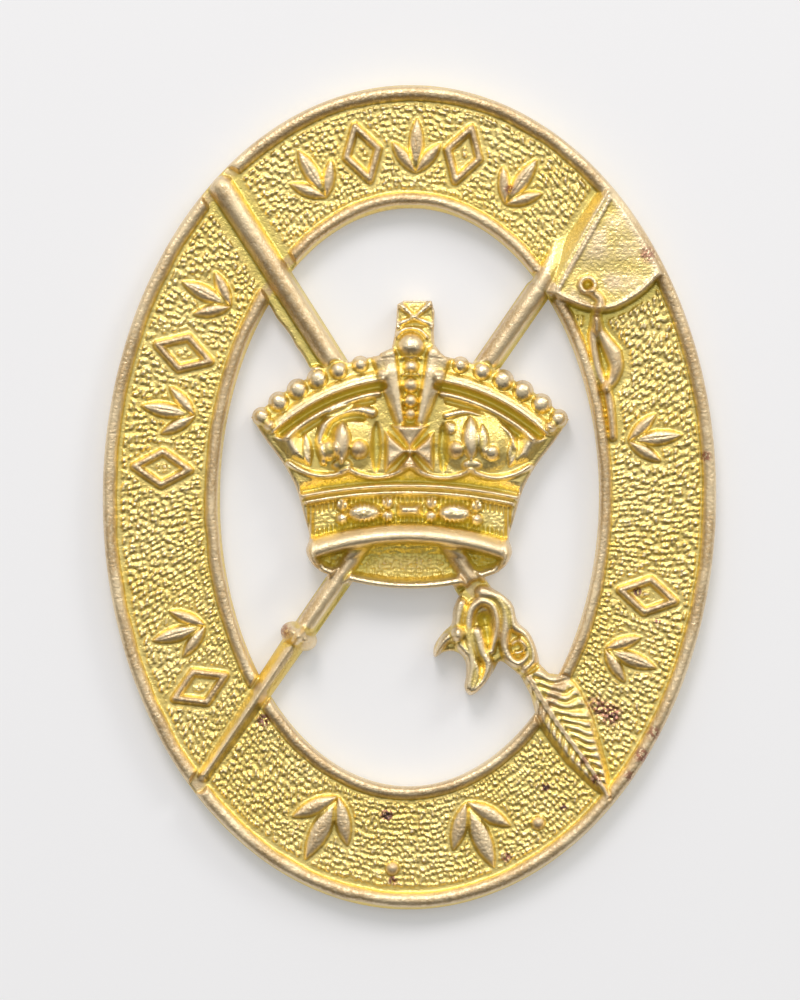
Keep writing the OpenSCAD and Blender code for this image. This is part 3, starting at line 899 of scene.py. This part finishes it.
def smooth_mesh(name, points, faces, sharp_angle):
    """Mesh of points in millimetres, shaded smooth except where it turns by more than an angle."""
    mesh = bpy.data.meshes.new(name)
    mesh.from_pydata(points * MM, [], faces)
    mesh.polygons.foreach_set("use_smooth", [True] * len(faces))
    mesh.set_sharp_from_angle(angle=math.radians(sharp_angle))
    return mesh


def finish_values(face, depth):
    """What the gilding's look depends on, for the front and for the back."""
    none = np.zeros(face.x.shape)
    bare = 0.2 + 0.13 * face.noise(3.2, 51) + 0.13 * face.noise(0.9, 52)
    heated = sum(np.exp(-((face.x - side * LUG_X) ** 2 + face.y ** 2) / 9) for side in (-1, 1))
    # stains and rust, with one spot of painted shade beside the knob
    stain = sum(darkness * np.clip(1.5 - np.hypot(face.x - x, face.y - y) / radius, 0, 1)
                for x, y, radius, darkness in STAINS_AND_SHADE)
    # high pales the tops in the material: painted highlight, partly burnished wear
    return {"high": (3 * (face.height - blurred(face.height, 4)), none),
            "wear": (face.wear, np.clip(bare + 0.4 * heated, 0, 1)),
            # hollow darkens the recesses in the material, on the front and in the back's channel:
            # painted shade, partly dirt
            "hollow": (2 * (blurred(face.height, 12) - face.height), 0.6 * depth),
            "stain": (stain, none)}


def plate_piece(material):
    """Closed mesh of the struck plate: front, back, and the wall between them."""
    face = struck_face()
    depth = back_depth(face)
    polygons, links, pairs = contour_cells(face.edge < 0)
    first, second = pairs.T
    edge = face.edge.ravel()
    gap = edge[first] - edge[second]
    cut = np.clip(edge[first] / np.where(gap == 0, 1, gap), 0.04, 0.96)
    share = np.where(first == second, 0, cut)

    def at(values):
        """Values of the grid at the mesh's vertices."""
        flat = values.ravel()
        return flat[first] * (1 - share) + flat[second] * share

    x, y = at(face.x), at(face.y)
    top = np.minimum(at(face.height), PEAK - 0.01) - at(face.drop)
    front = np.stack([x, -top, y], axis=1)
    back = np.stack([x, -at(depth), y], axis=1)
    count = len(x)
    faces = polygons + [[v + count for v in reversed(p)] for p in polygons]
    faces += [[q, p, p + count, q + count] for p, q in links]
    mesh = smooth_mesh("struck_plate", np.concatenate([front, back]), faces, 70)
    for name, (on_front, on_back) in finish_values(face, depth).items():
        store(mesh, name, np.concatenate([at(on_front), at(on_back)]))
    return add_piece(mesh, material, "badge", "struck_badge")


def store(mesh, name, values):
    mesh.attributes.new(name, "FLOAT", "POINT").data.foreach_set("value", values.astype(np.float32))


def placed(name, data):
    """New object in the scene."""
    thing = bpy.data.objects.new(name, data)
    bpy.context.scene.collection.objects.link(thing)
    return thing


def add_piece(mesh, material, body, node):
    """Puts a mesh in the scene, on a body of the frame, in place of a CAD node."""
    piece = placed(mesh.name, mesh)
    mesh.materials.append(material)
    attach(piece, body)
    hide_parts(node)
    return piece


# ---- lugs, braze and pins

def tube_faces(rings, around):
    """Faces over rings of points, closed at both ends."""
    faces = [list(range(around))[::-1], [(rings - 1) * around + j for j in range(around)]]
    for i in range(rings - 1):
        for j in range(around):
            k = (j + 1) % around
            faces.append([i * around + j, i * around + k, (i + 1) * around + k, (i + 1) * around + j])
    return faces


def swept(path, section, plane):
    """Points and faces of a closed section swept along a flat path; plane is the path's normal."""
    path = np.array(path, float)
    tangent = np.gradient(path, axis=0)
    tangent /= np.linalg.norm(tangent, axis=1)[:, None]
    side = np.cross(tangent, plane)
    points = (path[:, None, :] + section[None, :, :1] * side[:, None, :]
              + section[None, :, 1:] * np.array(plane)[None, None, :])
    return points.reshape(-1, 3), tube_faces(len(path), len(section))


def joined_mesh(name, parts):
    """One mesh from several lots of points and faces."""
    points = np.concatenate([part_points for part_points, _ in parts])
    faces, start = [], 0
    for part_points, part_faces in parts:
        faces += [[v + start for v in face] for face in part_faces]
        start += len(part_points)
    return smooth_mesh(name, points, faces, 50)


def circle_section(radius, count=28):
    turn = np.linspace(0, math.tau, count, endpoint=False)
    return np.stack([radius * np.cos(turn), radius * np.sin(turn)], axis=1)


def box_mm(node):
    low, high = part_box(node)
    return np.array(low) / MM, np.array(high) / MM


def lug_piece(side, material):
    """Loop of copper wire, a little uneven from the bending."""
    low, high = box_mm("lug_" + side)
    radius = (high[2] - low[2]) / 2
    middle = (low[0] + high[0]) / 2
    loop = (high[0] - low[0]) / 2 - radius
    bend_y = high[1] - radius - loop
    turn = np.linspace(0, math.pi, 32)
    legs = np.linspace(low[1], bend_y, 16, endpoint=False)
    path = [(middle + loop, y, 0) for y in legs]
    path += [(middle + loop * math.cos(a), bend_y + loop * math.sin(a), 0) for a in turn]
    path += [(middle - loop, y, 0) for y in legs[::-1]]
    points, faces = swept(path, circle_section(radius * 0.985), (0, 0, 1))
    uneven = 0.008 * noise(points[:, 0] * 3 + points[:, 2], points[:, 1] * 3 - points[:, 2], 1.2, 51)
    points[:, 2] += uneven
    mesh = joined_mesh("wire_lug_" + side, [(points, faces)])
    return add_piece(mesh, material, "badge", "lug_" + side)


def solder_fillet(foot, low_y, high_y, wire_r, outer_r, seed):
    """Concave fillet of solder that climbs a wire, with an uneven edge."""
    rng = np.random.default_rng(seed)
    turn = np.linspace(0, math.tau, 40, endpoint=False)
    wobble = sum(rng.uniform(0, 0.05) * np.cos(k * turn + rng.uniform(0, 6)) for k in (2, 3, 5))
    climb = np.linspace(0, 1, 12)
    rings = []
    for t in climb:
        radius = wire_r * 0.97 + (outer_r - wire_r) * (1 - t) ** 2.4 * (0.86 + wobble)
        y = low_y + (high_y - low_y) * t * (0.9 + 1.4 * wobble * t)
        rings.append(np.stack([foot + radius * np.cos(turn), y, radius * np.sin(turn)], axis=1))
    # seen from the cap these rings turn the other way from a swept tube's
    faces = [face[::-1] for face in tube_faces(len(climb), len(turn))]
    return np.concatenate(rings), faces


def braze_piece(side, material):
    """The two fillets of solder at a lug's feet."""
    low, high = box_mm("braze_" + side)
    wire_low, wire_high = box_mm("lug_" + side)
    wire_r = (wire_high[2] - wire_low[2]) / 2
    outer_r = (high[2] - low[2]) / 2
    first_seed = 71 if side == "left" else 61
    feet = (low[0] + outer_r, high[0] - outer_r)
    parts = [solder_fillet(foot, low[1], high[1], wire_r, outer_r, first_seed + i)
             for i, foot in enumerate(feet)]
    mesh = joined_mesh("solder_" + side, parts)
    return add_piece(mesh, material, "badge", "braze_" + side)


def half_round(radius, count=18):
    """Half-round section with its flat side at 0 and softened corners."""
    turn = np.linspace(-math.pi / 2, math.pi / 2, count)
    bulge = np.stack([radius * np.cos(turn), radius * np.sin(turn)], axis=1)
    bulge[0] = (0.06 * radius, -0.97 * radius)
    bulge[-1] = (0.06 * radius, 0.97 * radius)
    flat = [(0.0, share * radius) for share in (0.9, 0.45, -0.45, -0.9)]
    return np.concatenate([bulge, flat])


PIN_SPLIT = 0.05
LONGER_LEG = 0.7
TAPER_LENGTH, TAPER = 0.8, 0.35


def pin_piece(side, material):
    """Split pin: half-round wire bent into a ring at the head, with two closed legs."""
    low, high = box_mm("pin_" + side)
    middle = (low + high) / 2
    radius = (high[1] - low[1]) / 2
    ring = (high[0] - low[0]) / 2
    ring_z = high[2] - ring
    section = half_round(radius * 0.99)
    parts = []
    for hand, tip in ((1, low[2]), (-1, low[2] + LONGER_LEG)):
        flat_x = middle[0] + hand * PIN_SPLIT
        heights = np.linspace(tip, ring_z - ring + 0.55, 24)[::-hand]
        path = [(flat_x, middle[1], z) for z in heights]
        points, faces = swept(path, section * (1 - PIN_SPLIT / radius, 1), (0, 1, 0))
        near_tip = TAPER * np.clip(1 - (points[:, 2] - tip) / TAPER_LENGTH, 0, 1)
        points[:, 0] -= near_tip * (points[:, 0] - flat_x)
        points[:, 1] -= near_tip * (points[:, 1] - middle[1])
        parts.append((points, faces))
    inner = ring - radius
    path = [(middle[0] + inner * math.cos(a), middle[1], ring_z + inner * math.sin(a))
            for a in np.radians(np.linspace(264, -84, 60))]
    parts.append(swept(path, section, (0, 1, 0)))
    mesh = joined_mesh("split_pin_" + side, parts)
    return add_piece(mesh, material, side + "_pin", "pin_" + side)


# ---- materials

class Nodes:
    """Short names for building a node tree."""

    def __init__(self, tree):
        self.tree = tree
        self.place = tree.nodes.new("ShaderNodeTexCoord").outputs

    def node(self, kind, **inputs):
        made = self.tree.nodes.new("ShaderNode" + kind)
        for name, value in inputs.items():
            socket = made.inputs[int(name[1:]) if name[0] == "_" else name.replace("_", " ")]
            if isinstance(value, bpy.types.NodeSocket):
                self.tree.links.new(value, socket)
            else:
                socket.default_value = value
        return made

    def noise(self, scale, detail=3.0, roughness=0.55):
        made = self.node("TexNoise", Vector=self.place["Object"], Scale=scale, Detail=detail,
                         Roughness=roughness)
        return made.outputs["Fac"]

    def attribute(self, name):
        made = self.tree.nodes.new("ShaderNodeAttribute")
        made.attribute_name = name
        return made.outputs["Fac"]

    def maths(self, operation, a, b, clamp=False):
        made = self.node("Math", _0=a, _1=b)
        made.operation = operation
        made.use_clamp = clamp
        return made.outputs[0]

    def plus(self, a, b):
        return self.maths("ADD", a, b)

    def times(self, a, b, clamp=False):
        return self.maths("MULTIPLY", a, b, clamp)

    def spread(self, value, low, high, to_low=0.0, to_high=1.0):
        """Maps a value's range onto another, with smooth ends."""
        made = self.node("MapRange", Value=value, _1=low, _2=high, _3=to_low, _4=to_high)
        made.interpolation_type = "SMOOTHSTEP"
        return made.outputs[0]

    def mix(self, share, a, b):
        made = self.tree.nodes.new("ShaderNodeMix")
        made.data_type = "RGBA"
        for socket, value in ((made.inputs[0], share), (made.inputs[6], a), (made.inputs[7], b)):
            if isinstance(value, bpy.types.NodeSocket):
                self.tree.links.new(value, socket)
            elif isinstance(value, tuple):
                socket.default_value = (*value, 1.0)
            else:
                socket.default_value = value
        return made.outputs[2]

    def bump(self, height, distance, strength=1.0, normal=None):
        made = self.node("Bump", Height=height, Distance=distance, Strength=strength)
        if normal is not None:
            self.tree.links.new(normal, made.inputs["Normal"])
        return made.outputs[0]


class Surface(Nodes):
    """Nodes of a new material."""

    def __init__(self, name):
        self.material = bpy.data.materials.new(name)
        self.material.use_nodes = True
        super().__init__(self.material.node_tree)
        self.shader = self.tree.nodes["Principled BSDF"]

    def set(self, **values):
        """Sets inputs of the shader, each to one value for the whole surface."""
        for name, value in values.items():
            self.shader.inputs[name.replace("_", " ")].default_value = value

    def finish(self, colour, roughness, normal):
        """Links the metal's shader inputs and returns the material."""
        for name, value in (("Base Color", colour), ("Roughness", roughness), ("Normal", normal)):
            self.tree.links.new(value, self.shader.inputs[name])
        self.set(Metallic=1.0)
        return self.material


GOLD, PALE_GOLD = (0.89, 0.665, 0.165), (0.92, 0.715, 0.23)
# next line: the first colour is pale gold painted on high spots (painted highlight, partly burnished
# wear); the second is darker gold painted into hollows (painted shade, partly dirt)
HIGHLIGHT_AND_WEAR_GOLD, SHADE_AND_DIRT_GOLD = (0.935, 0.765, 0.51), (0.74, 0.61, 0.12)
BARE_BRASS = (0.63, 0.44, 0.21)
RUST, TARNISH = (0.40, 0.17, 0.09), (0.12, 0.06, 0.045)


def gilt_brass():
    """Bright gilding over brass, rubbed to a satin pinkish brown on the high spots."""
    n = Surface("gilt_brass")
    high, wear, hollow, spots = (n.attribute(name) for name in ("high", "wear", "hollow", "stain"))
    patches = n.noise(260, 4)
    speckle = n.noise(5200, 2, 0.6)
    coarse = n.noise(11000, 1)
    worn = n.plus(wear, n.times(high, 0.2))

    gold = n.mix(n.spread(patches, 0.35, 0.65), GOLD, PALE_GOLD)
    # paler, whiter gold on high spots and worn places: mostly painted highlight on the tops, partly
    # burnished wear
    thin = n.plus(high, n.times(wear, 0.5))
    gold = n.mix(n.spread(thin, 0.02, 0.35, 0.0, 0.85), gold, HIGHLIGHT_AND_WEAR_GOLD)
    # darker gold in hollows and in the back's channel: painted shade, partly dirt
    colour = n.mix(n.spread(hollow, 0.15, 0.9), gold, SHADE_AND_DIRT_GOLD)
    rubbed = n.times(n.spread(worn, 0.15, 0.9), n.spread(patches, 0.34, 0.58, 0.25, 1.0))
    rubbed = n.times(rubbed, n.spread(speckle, 0.3, 0.58, 0.35, 1.0), clamp=True)
    colour = n.mix(rubbed, colour, BARE_BRASS)
    # stains, rust and tarnish; the spot on the knob's left side among them is painted shade, partly
    # dirt
    stain = n.times(spots, n.spread(speckle, 0.35, 0.5), clamp=True)
    colour = n.mix(n.spread(stain, 0.1, 0.6), colour, RUST)
    colour = n.mix(n.spread(stain, 0.55, 1.0), colour, TARNISH)

    roughness = n.spread(speckle, 0.2, 0.8, 0.26, 0.42)
    roughness = n.plus(roughness, n.times(n.spread(worn, 0.1, 0.5), 0.14))
    fine = n.bump(coarse, 0.03 * MM, 0.9)
    normal = n.bump(speckle, 0.04 * MM, n.spread(worn, 0.0, 0.5, 1.0, 0.6), fine)
    n.set(Coat_Weight=0.7, Coat_Roughness=0.2, Coat_IOR=1.7)
    n.tree.links.new(normal, n.shader.inputs["Coat Normal"])
    return n.finish(colour, roughness, normal)


def drawn_wire(name, clean, dull, scale, rough):
    """Drawn wire: dulled in patches, with fine scratches along it."""
    n = Surface(name)
    patches = n.noise(scale, 5)
    fine = n.noise(6000, 2)
    colour = n.mix(n.spread(patches, 0.4, 0.62), clean, dull)
    roughness = n.spread(patches, 0.3, 0.7, rough, rough + 0.22)
    normal = n.bump(fine, 0.012 * MM, 0.8)
    return n.finish(colour, roughness, normal)


def rough_solder():
    """Cast surface of solder, lumpy and stained by the flame."""
    n = Surface("solder")
    lumps = n.noise(1800, 4)
    stain = n.noise(500, 3)
    colour = n.mix(n.spread(stain, 0.4, 0.65), (0.80, 0.76, 0.62), (0.40, 0.31, 0.20))
    roughness = n.spread(lumps, 0.3, 0.7, 0.32, 0.55)
    return n.finish(colour, roughness, n.bump(lumps, 0.08 * MM, 0.9))


# ---- stage

def backdrop():
    """Pale card that the badge lies on. From behind it is clear, so that it never hides the lugs."""
    half, y = 0.6, 0.1 * MM
    corners = [(-half, y, -half), (half, y, -half), (half, y, half), (-half, y, half)]
    mesh = bpy.data.meshes.new("backdrop")
    mesh.from_pydata(corners, [], [(0, 1, 2, 3)])
    n = Surface("pale_card")
    n.set(Base_Color=(0.70, 0.70, 0.698, 1), Emission_Color=(1, 1, 1, 1), Emission_Strength=0.21,
          Roughness=1.0, Specular_IOR_Level=0.0)
    clear = n.node("BsdfTransparent")
    side = n.node("NewGeometry").outputs["Backfacing"]
    mix = n.node("MixShader", _0=side, _1=n.shader.outputs[0], _2=clear.outputs[0])
    n.tree.links.new(mix.outputs[0], n.tree.nodes["Material Output"].inputs["Surface"])
    mesh.materials.append(n.material)
    placed("backdrop", mesh)


def light(name, place, size, power, colour=(1, 1, 1)):
    """Round soft lamp aimed at the badge."""
    lamp = bpy.data.lights.new(name, "AREA")
    lamp.shape = "DISK"
    lamp.size = size
    lamp.energy = power
    lamp.color = colour
    thing = placed(name, lamp)
    thing.location = place
    thing.rotation_euler = (-Vector(place)).to_track_quat("-Z", "Y").to_euler()


def world():
    """Soft sky: bright above, dimmer in front and dark below, and plain to the camera."""
    sky = bpy.data.worlds.new("studio")
    sky.use_nodes = True
    bpy.context.scene.world = sky
    n = Nodes(sky.node_tree)
    upward = n.node("VectorMath", _0=n.place["Generated"], _1=Vector((0.05, -0.5, 0.85)).normalized())
    upward.operation = "DOT_PRODUCT"
    brightness = n.spread(upward.outputs["Value"], -0.55, 1.0, 0.07, 0.96)
    to_camera = n.node("LightPath").outputs["Is Camera Ray"]
    strength = n.node("Mix", _0=to_camera, _2=brightness, _3=0.86)
    background = n.tree.nodes["Background"]
    background.inputs["Color"].default_value = (1, 1, 1, 1)
    n.tree.links.new(strength.outputs[0], background.inputs["Strength"])


def camera():
    """Square on to the face, from far enough off that the view is nearly flat."""
    data = bpy.data.cameras.new("camera")
    data.lens = 200
    data.sensor_width = 36
    data.clip_start = 0.01
    view_height = 58.2 * MM
    distance = view_height * data.lens / data.sensor_width
    thing = placed("camera", data)
    thing.location = (-0.55 * MM, -SHEET * MM - distance, -0.16 * MM)
    thing.rotation_euler = (math.radians(90), math.radians(-0.4), 0)
    bpy.context.scene.camera = thing


def build():
    plate_piece(gilt_brass())
    copper = drawn_wire("copper_wire", (0.80, 0.46, 0.27), (0.42, 0.22, 0.13), 700, 0.26)
    brass = drawn_wire("pin_brass", (0.83, 0.66, 0.30), (0.52, 0.38, 0.18), 600, 0.22)
    solder = rough_solder()
    for side in ("left", "right"):
        lug_piece(side, copper)
        braze_piece(side, solder)
        pin_piece(side, brass)
    backdrop()
    world()
    light("key", (-0.09, -0.38, 0.40), 0.22, 1.15, (1.0, 0.95, 0.98))
    light("fill", (0.3, -0.24, 0.3), 0.14, 0.4)
    light("back", (0.1, 0.4, 0.3), 0.16, 2.2)
    camera()
    bpy.context.scene.view_settings.view_transform = "Standard"


build()
